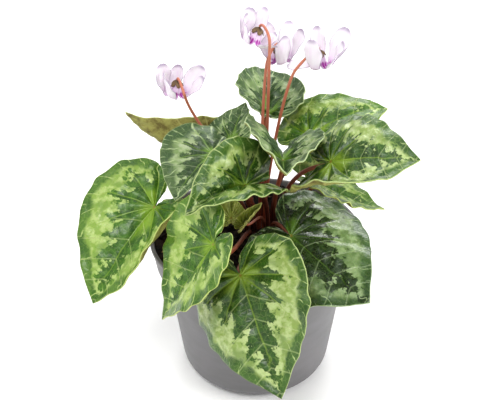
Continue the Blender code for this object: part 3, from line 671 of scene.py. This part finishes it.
def underMaterial(name, light, dark, vein):
    # underside of the leaf, matt and downy: khaki, flushed with brown between paler raised veins
    made, tree, shader = newMaterial(name)
    phase = node(tree, "Attribute", attribute_name="vein").outputs["Fac"]
    gap = node(tree, "Attribute", attribute_name="gapMm").outputs["Fac"]
    flat = node(tree, "UVMap", uv_map="flat")                                 # 1 is 100 mm
    cloud = node(tree, "TexNoise", {"Vector": flat, "Scale": 14, "Detail": 5, "Roughness": 0.6})     # 7 mm
    net = node(tree, "TexVoronoi", {"Vector": flat, "Scale": 42}, feature="DISTANCE_TO_EDGE")        # 2.4 mm
    lineMm = node(tree, "multiply", fromLine(tree, phase), gap)
    threads = node(tree, "multiply", node(tree, "mask", net, 0.06, 0.01), 0.3)
    ridge = node(tree, "mask", lineMm, 1.0, 0.2)
    colour = node(tree, "blend", node(tree, "mask", cloud, 0.40, 0.66), srgb(light), srgb(dark))
    colour = node(tree, "blend", threads, colour, srgb(vein))
    setInputs(shader, {
        "Base Color": node(tree, "blend", node(tree, "mask", lineMm, 0.8, 0.3), colour, srgb(vein)),
        "Roughness": 0.55,
        "Normal": node(tree, "Bump", {"Strength": 0.4, "Distance": 0.0005, "Height": ridge}),
    })
    return made


def edgeMaterial(name, look):
    # rim of the blade: horny yellow-green line, worn in spots of 1.4 mm
    made, tree, shader = newMaterial(name)
    place = node(tree, "TexCoord").outputs["Object"]
    worn = node(tree, "TexNoise", {"Vector": place, "Scale": 700})
    rim = node(tree, "blend", worn, srgb(look["edge"]), srgb(look["vein"]))
    setInputs(shader, {"Base Color": rim, "Roughness": 0.5})
    return made


under = underMaterial("leaf_underside_matt", "#a3a15c", "#6f6538", "#b0ad6c")
upper = {key: leafMaterial("leaf_skin_" + key, look) for key, look in looks.items()}
edges = {key: edgeMaterial("leaf_edge_" + key, look) for key, look in looks.items()}
for name, shape in leafShapes.items():
    leaf = plainLeaf | shape
    makeBlade(name, leaf, [upper[leaf["look"]], under, edges[leaf["look"]]])
    print("  blade", name)

print("stems")
stalkShape = dict(sides=18, steps=44, foot=0.0012, gap=0.0003, blade=0.0008, taper=0.8)


def stemMaterial(name, low, high, fleck, rough):
    # fleshy stalk: fine lengthwise ribs, as grown, and colour darkening towards the crown, which is painted
    # shade under the leaves
    made, tree, shader = newMaterial(name)
    along = node(tree, "UVMap", uv_map="sheet")
    lengthShare = node(tree, "SeparateXYZ", along).outputs["Y"]
    drawn = node(tree, "Mapping", {"Vector": along, "Scale": (14, 2.5, 1)})                # 14 ribs round
    ribs = node(tree, "TexNoise", {"Vector": drawn, "Scale": 1, "Detail": 4})
    place = node(tree, "TexCoord").outputs["Object"]
    grains = node(tree, "TexNoise", {"Vector": place, "Scale": 900, "Detail": 2})          # 1.1 mm
    # painted shade: the low colour, at the crown end, is darker where the stalks stand in the shade of the
    # leaves
    colour = node(tree, "blend", node(tree, "mask", lengthShare, 0.05, 0.75), srgb(low), srgb(high))
    ribbed = node(tree, "multiply", node(tree, "mask", ribs, 0.45, 0.7), 0.5)
    both = node(tree, "multiply_add", grains, 0.4, ribs)
    setInputs(shader, {
        "Base Color": node(tree, "blend", ribbed, colour, srgb(fleck)),
        "Roughness": rough,
        "Subsurface Weight": 0.15,
        "Subsurface Radius": (1.0, 0.4, 0.25),
        "Subsurface Scale": 0.0008,
        "Normal": node(tree, "Bump", {"Strength": 0.35, "Distance": 0.0003, "Height": both}),
    })
    return made


def bezier(points, steps):
    # a curve from the first point to the last, drawn towards the two between
    a, b, c, d = (np.array(p, float) for p in points)
    t = np.linspace(0, 1, steps + 1)[:, None]
    return a * (1 - t) ** 3 + 3 * b * t * (1 - t) ** 2 + 3 * c * t ** 2 * (1 - t) + d * t ** 3


def rod(path, startRadius, endRadius):
    # a round stalk swept along a path, its seam merged and both ends filled
    path = [Vector(p) for p in path]
    rings = []
    side = Vector((1, 0, 0))
    for i, point in enumerate(path):
        along = (path[min(i + 1, len(path) - 1)] - path[max(i - 1, 0)]).normalized()
        side = (side - along * side.dot(along)).normalized()
        rings.append((point, side.copy(), along.cross(side)))

    def place(u, v):
        i = min(int(round(v * (len(path) - 1))), len(path) - 1)
        point, across, other = rings[i]
        radius = startRadius + (endRadius - startRadius) * v
        return point + radius * (across * math.cos(math.pi * u) + other * math.sin(math.pi * u))

    bm = sheet(stalkShape["sides"], len(path) - 1, place)
    bmesh.ops.remove_doubles(bm, verts=bm.verts, dist=1e-7)
    bmesh.ops.holes_fill(bm, edges=[e for e in bm.edges if e.is_boundary], sides=0)
    bmesh.ops.recalc_face_normals(bm, faces=bm.faces)
    return bm


def crownPoint(angle, ring):
    # foot of a stalk, just above the tuber's level crown
    x, y, _ = tuberShape["centre"]
    turn = math.radians(angle)
    height = tuberShape["crown"] + stalkShape["gap"]
    return Vector((x + ring * math.cos(turn), y + ring * math.sin(turn), height))


def makeLeafStem(name, leaf, material):
    s = stalkShape
    radius = leaf["stemRadius"]
    face = leafAxes(leaf)[2]
    way = face.lerp(Vector((0, 0, 1)), leaf["upright"]).normalized()
    slant = s["taper"] * radius * math.tan(way.angle(face))
    end = Vector(leaf["at"]) - face * (s["blade"] + slant)
    start = crownPoint(leaf["crown"], leaf["crownRing"])
    foot = start + Vector((0, 0, s["foot"]))
    rise = Vector((0, 0, leaf["rise"] * (end - start).length))
    below = end - way * leaf["approach"] + Vector(leaf["swing"])
    path = np.vstack([[start], bezier((foot, foot + rise, below, end), s["steps"])])
    stalk = rod(path, radius, s["taper"] * radius)
    finishPiece("stalk_" + name, stalk, [material], ["leaf_stem_" + name])


stalkSkin = stemMaterial("leaf_stalk_fleshy", "#401813", "#98553d", "#b57455", 0.42)
for name, shape in leafShapes.items():
    makeLeafStem(name, plainLeaf | shape, stalkSkin)

print("flowers")
tubeShape = dict(radius=0.0034, depth=0.0065, bend=0.0015, share=1 / 3, opened=0.65, columns=14, rows=60,
                 wall=0.0003, sepalWall=0.0004, sepalClear=0.0008, sepalNotch=0.16, sepalReach=0.34,
                 stem=0.00095, stemClear=0.0009, stemRise=0.030, stemTaper=0.7, hookSteps=24,
                 hookReach=0.0035, style=0.0004, styleInside=0.0054, styleBeyond=0.0008)
flowerShapes = {
    "left": dict(
        mouth=(-0.043, 0.022, 0.1665), looks=(-0.1, 0.06, -0.98), turn=32, crown=180,
        crownRing=0.0026, knee=(-0.038, 0.0105, 0.17), lean=(-0.0035, -0.024, 0.034), hook=0.06,
        petals=((34, 0.018, 0.009, -40, -24), (14, 0.019, 0.01, 40, 32), (10, 0.02, 0.011, 60, 14),
                (8, 0.017, 0.008, 0, 20), (34, 0.02, 0.011, -60, 8)),
    ),
    "top": dict(
        mouth=(-0.001, 0.014, 0.1995), looks=(-0.35, -0.1, -0.9), turn=54, crown=60,
        crownRing=0.0026, knee=(0.0066, 0.003, 0.202), lean=(0, -0.001, 0.012), hook=0.5,
        petals=((60, 0.011, 0.007, 20, -30), (14, 0.017, 0.01, 40, 38), (8, 0.019, 0.01, 60, 10),
                (6, 0.021, 0.008, 10, 0), (30, 0.012, 0.007, -40, 0)),
    ),
    "middle": dict(
        mouth=(0.013, 0.031, 0.182), looks=(0.15, -0.1, -0.95), turn=90, crown=130,
        crownRing=0.0026, knee=(0.0055, 0.019, 0.184), lean=(0.002, 0, 0.016), hook=0.3,
        petals=((8, 0.019, 0.009, 0, -28), (10, 0.021, 0.009, 50, 30), (8, 0.024, 0.009, 30, 6),
                (22, 0.023, 0.011, -50, 0), (28, 0.022, 0.01, -60, 0)),
    ),
    "right": dict(
        mouth=(0.033, 0.01, 0.1885), looks=(0.1, -0.05, -0.95), turn=54, crown=-80,
        crownRing=0.0026, knee=(0.02, 0.007, 0.1855), lean=(0.0055, -0.001, 0.009), hook=0.4,
        petals=((30, 0.018, 0.009, -40, -34), (6, 0.02, 0.011, 10, -8), (95, 0.017, 0.008, 30, 10),
                (8, 0.022, 0.008, 10, 0), (30, 0.023, 0.011, -60, 0)),
    ),
}


def flowerAxes(flower):
    down = Vector(flower["looks"]).normalized()
    side = (Vector((1, 0, 0)) - down * down.x).normalized()
    return down, side, down.cross(side)


def domePoint(flower, angle, share, clear=0):
    # on the closed end of the tube: share is 0 at its top and 1 at the mouth
    down, side, other = flowerAxes(flower)
    radius = tubeShape["radius"] * math.sin(math.pi / 2 * share) ** 0.6 + clear * min(share * 6, 1)
    height = tubeShape["depth"] * (1 - share) ** 1.1 + clear
    outward = side * math.cos(angle) + other * math.sin(angle)
    return Vector(flower["mouth"]) - down * height + outward * radius


def petalPoint(flower, petal, across, along):
    t = tubeShape
    base = math.radians(flower["turn"] + 72 * petal)
    if along <= t["share"]:
        return domePoint(flower, base + across * math.pi / 5, along / t["share"])
    share = (along - t["share"]) / (1 - t["share"])
    spread, length, width, twist, aside = flower["petals"][petal]
    down, side, other = flowerAxes(flower)
    heading = base + math.radians(aside) * share
    outward = side * math.cos(heading) + other * math.sin(heading)
    stop = math.radians(180 - spread)
    swing = stop * min(share * length / (t["bend"] * stop), 1)
    beyond = max(share * length - t["bend"] * stop, 0)
    out = t["bend"] * (1 - math.cos(swing)) + beyond * math.sin(stop)
    drop = t["bend"] * math.sin(swing) + beyond * math.cos(stop)
    turned = math.radians(twist) * share
    facing = outward * math.cos(swing) - down * math.sin(swing)
    flat = down.cross(outward) * math.cos(turned) + facing * math.sin(turned)
    roundIn = t["radius"] * (math.cos(math.pi / 5) - 1) * max(1 - share / 0.15, 0)
    middle = Vector(flower["mouth"]) + outward * (t["radius"] + out + roundIn * across ** 2) + down * drop
    neck = 2 * t["radius"] * math.sin(math.pi / 5)
    growth = min(share / t["opened"], 1)
    opened = neck + (width - neck) * growth ** 2 * (3 - 2 * growth)
    half = opened * math.sqrt(max(1 - max((share - 0.5) / 0.505, 0) ** 2.2, 0)) / 2
    return middle + flat * across * half


def petalMaterial():
    # petal skin, as grown: white with a lilac flush and paired magenta marks at the mouth, lets light
    # through; the grey-lilac line round its border is painted shade
    made, tree, shader = newMaterial("petal_translucent")
    sheetUv = node(tree, "UVMap", uv_map="sheet")
    across, along, _ = node(tree, "SeparateXYZ", sheetUv).outputs
    place = node(tree, "TexCoord").outputs["Object"]
    cloud = node(tree, "TexNoise", {"Vector": place, "Scale": 260, "Detail": 3})           # 4 mm
    drawn = node(tree, "Mapping", {"Vector": sheetUv, "Scale": (16, 2, 1)})                # 16 veins across
    veins = node(tree, "TexNoise", {"Vector": drawn, "Scale": 1, "Detail": 3})
    wobble = node(tree, "multiply_add", cloud, 0.12, -0.06)
    height = node(tree, "add", along, wobble)
    flush = node(tree, "multiply", node(tree, "mask", height, 0.62, 0.36), 0.5)
    colour = node(tree, "blend", flush, srgb("#e6e0e7"), srgb("#d3a6d6"))
    veined = node(tree, "multiply", node(tree, "mask", veins, 0.52, 0.7), 0.22)
    colour = node(tree, "blend", veined, colour, srgb("#d9b0dc"))
    middle = node(tree, "absolute", node(tree, "subtract", across, 0.5))
    pair = node(tree, "absolute", node(tree, "subtract", middle, 0.19))
    stroke = node(tree, "mask", node(tree, "add", pair, wobble), 0.15, 0.09)
    band = node(tree, "mask", height, 0.22, 0.30)
    band = node(tree, "multiply", band, node(tree, "mask", height, 0.47, 0.40))
    colour = node(tree, "blend", node(tree, "multiply", stroke, band), colour, srgb("#a01a92"))
    mouth = node(tree, "mask", height, 0.27, 0.32)
    mouth = node(tree, "multiply", mouth, node(tree, "mask", height, 0.41, 0.36))
    colour = node(tree, "blend", node(tree, "multiply", mouth, 0.6), colour, srgb("#a52aa0"))
    # painted shade: a grey-lilac line along the petal's sides and tip, darker than the petal
    paintedEdgeShade = node(tree, "maximum", node(tree, "multiply", middle, 2), along)
    paintedEdgeShade = node(tree, "multiply", node(tree, "mask", paintedEdgeShade, 0.90, 1.0), 0.8)
    setInputs(shader, {
        "Base Color": node(tree, "blend", paintedEdgeShade, colour, srgb("#9a8ca4")),
        "Roughness": 0.48,
        "Subsurface Weight": 0.25,
        "Subsurface Radius": (1.0, 0.8, 1.0),
        "Subsurface Scale": 0.0008,
        "Sheen Weight": 0.15,
        "Normal": node(tree, "Bump", {"Strength": 0.25, "Distance": 0.0003, "Height": veins}),
    })
    return made


def makePetal(flower, petal, seed):
    t = tubeShape

    def rise(u, v):
        # a frilled rim, the free part dished, and the whole a little uneven
        free = max((v - t["share"]) / (1 - t["share"]), 0)
        frill = 0.0006 * free * abs(u) ** 3 * math.sin(free * 17 + petal * 2 + seed)
        dish = 0.0010 * free * (1 - free) * 4 * (u ** 2 - 0.4)
        return frill + dish + 0.0002 * noise.noise(Vector((u * 3, v * 8, petal + seed)))

    return sheet(t["columns"], t["rows"], lambda u, v: petalPoint(flower, petal, u, v), rise)


def makeCorolla(name, flower, material):
    whole = bmesh.new()
    for petal in range(5):
        part = makePetal(flower, petal, len(name) + flower["turn"])
        part.normal_update()
        mesh = bpy.data.meshes.new("petal")
        part.to_mesh(mesh)
        part.free()
        whole.from_mesh(mesh)
        bpy.data.meshes.remove(mesh)
    bmesh.ops.remove_doubles(whole, verts=whole.verts, dist=0.00002)
    bmesh.ops.recalc_face_normals(whole, faces=whole.faces)
    faceAway(whole, Vector(flower["mouth"]))
    liftAlong(whole)
    finishPiece("corolla_" + name, whole, [material], ["petals_" + name], wall=tubeShape["wall"])


def makeCalyx(name, flower, material):
    t = tubeShape

    def place(u, v):
        lobe = t["sepalNotch"] + t["sepalReach"] * abs(math.cos(2.5 * math.pi * u)) ** 0.8
        return domePoint(flower, math.pi * u, lobe * v, t["sepalClear"])

    bm = sheet(80, 8, place)
    bmesh.ops.remove_doubles(bm, verts=bm.verts, dist=1e-5)
    bmesh.ops.recalc_face_normals(bm, faces=bm.faces)
    faceAway(bm, Vector(flower["mouth"]))
    finishPiece("sepals_" + name, bm, [material], ["calyx_" + name], wall=t["sepalWall"])


def makeFlowerStem(name, flower, material):
    t = tubeShape
    down = flowerAxes(flower)[0]
    knee, lean = Vector(flower["knee"]), Vector(flower["lean"])
    top = Vector(flower["mouth"]) - down * (t["depth"] + t["stemClear"])
    start = crownPoint(flower["crown"], flower["crownRing"])
    foot = start + Vector((0, 0, stalkShape["foot"]))
    upright = foot + Vector((0, 0, t["stemRise"]))
    lower = bezier((foot, upright, knee - lean, knee), stalkShape["steps"])
    over = top - down * t["hookReach"]
    hook = bezier((knee, knee + lean * flower["hook"], over, top), t["hookSteps"])
    path = np.vstack([[start], lower, hook[1:]])
    stem = rod(path, t["stem"], t["stemTaper"] * t["stem"])
    finishPiece("scape_" + name, stem, [material], ["flower_stem_" + name])


def makeStyle(name, flower, material):
    t = tubeShape
    mouth, down = Vector(flower["mouth"]), flowerAxes(flower)[0]
    line = np.linspace(mouth - down * t["styleInside"], mouth + down * t["styleBeyond"], 9)
    style = rod(line, t["style"], t["style"])
    finishPiece("pistil_" + name, style, [material], ["style_" + name])


petalSkin = petalMaterial()
sepalSkin = stemMaterial("sepal_downy", "#4c3b2a", "#6f5a3e", "#8a7350", 0.6)
scapeSkin = stemMaterial("flower_stalk_fleshy", "#8f4634", "#b8735b", "#c98a70", 0.45)
styleSkin = stemMaterial("style_smooth", "#b04a7c", "#cf7aa6", "#dd9cc0", 0.4)
for name, flower in flowerShapes.items():
    makeCorolla(name, flower, petalSkin)
    makeCalyx(name, flower, sepalSkin)
    makeFlowerStem(name, flower, scapeSkin)
    makeStyle(name, flower, styleSkin)

print("studio")
view = dict(target=(-0.0033, 0, 0.111), distance=0.5, elevation=32.1, lens=65, sensor=36, near=0.01, far=20)
target = Vector(view["target"])
down = math.radians(view["elevation"])
camera = bpy.data.objects.new("camera", bpy.data.cameras.new("camera"))
camera.data.lens = view["lens"]
camera.data.sensor_width = view["sensor"]
camera.data.clip_start = view["near"]
camera.data.clip_end = view["far"]
camera.location = target + view["distance"] * Vector((0, -math.cos(down), math.sin(down)))
camera.rotation_euler = (target - camera.location).to_track_quat("-Z", "Y").to_euler()
bpy.context.scene.collection.objects.link(camera)
bpy.context.scene.camera = camera


def softbox(name, spot, size, watts):
    lamp = bpy.data.lights.new(name, "AREA")
    lamp.shape = "DISK"
    lamp.size = size
    lamp.energy = watts
    box = bpy.data.objects.new(name, lamp)
    box.location = spot
    box.rotation_euler = (Vector((0, 0, 0.1)) - Vector(spot)).to_track_quat("-Z", "Y").to_euler()
    bpy.context.scene.collection.objects.link(box)


softbox("key", (-0.35, -0.8, 1.5), 0.8, 13)
softbox("side", (1.4, -0.5, 0.8), 1.0, 11)
softbox("back", (0.2, 1.3, 1.2), 1.0, 9)
world = bpy.data.worlds.new("studio")
world.use_nodes = True
setInputs(world.node_tree.nodes["Background"], {"Color": srgb("#ffffff"), "Strength": 0.72})
bpy.context.scene.world = world
bpy.context.scene.view_settings.view_transform = "Standard"
bpy.context.scene.view_settings.look = "Medium High Contrast"

paper, paperTree, paperShader = newMaterial("paper_matt")    # coated card: white and matt
setInputs(paperShader, {"Base Color": srgb("#ffffff"), "Roughness": 0.9})
bm = bmesh.new()
bmesh.ops.create_circle(bm, cap_ends=True, segments=96, radius=4)
floorMesh = bpy.data.meshes.new("floor")
bm.to_mesh(floorMesh)
bm.free()
floorMesh.materials.append(paper)
floor = bpy.data.objects.new("floor", floorMesh)
bpy.context.scene.collection.objects.link(floor)
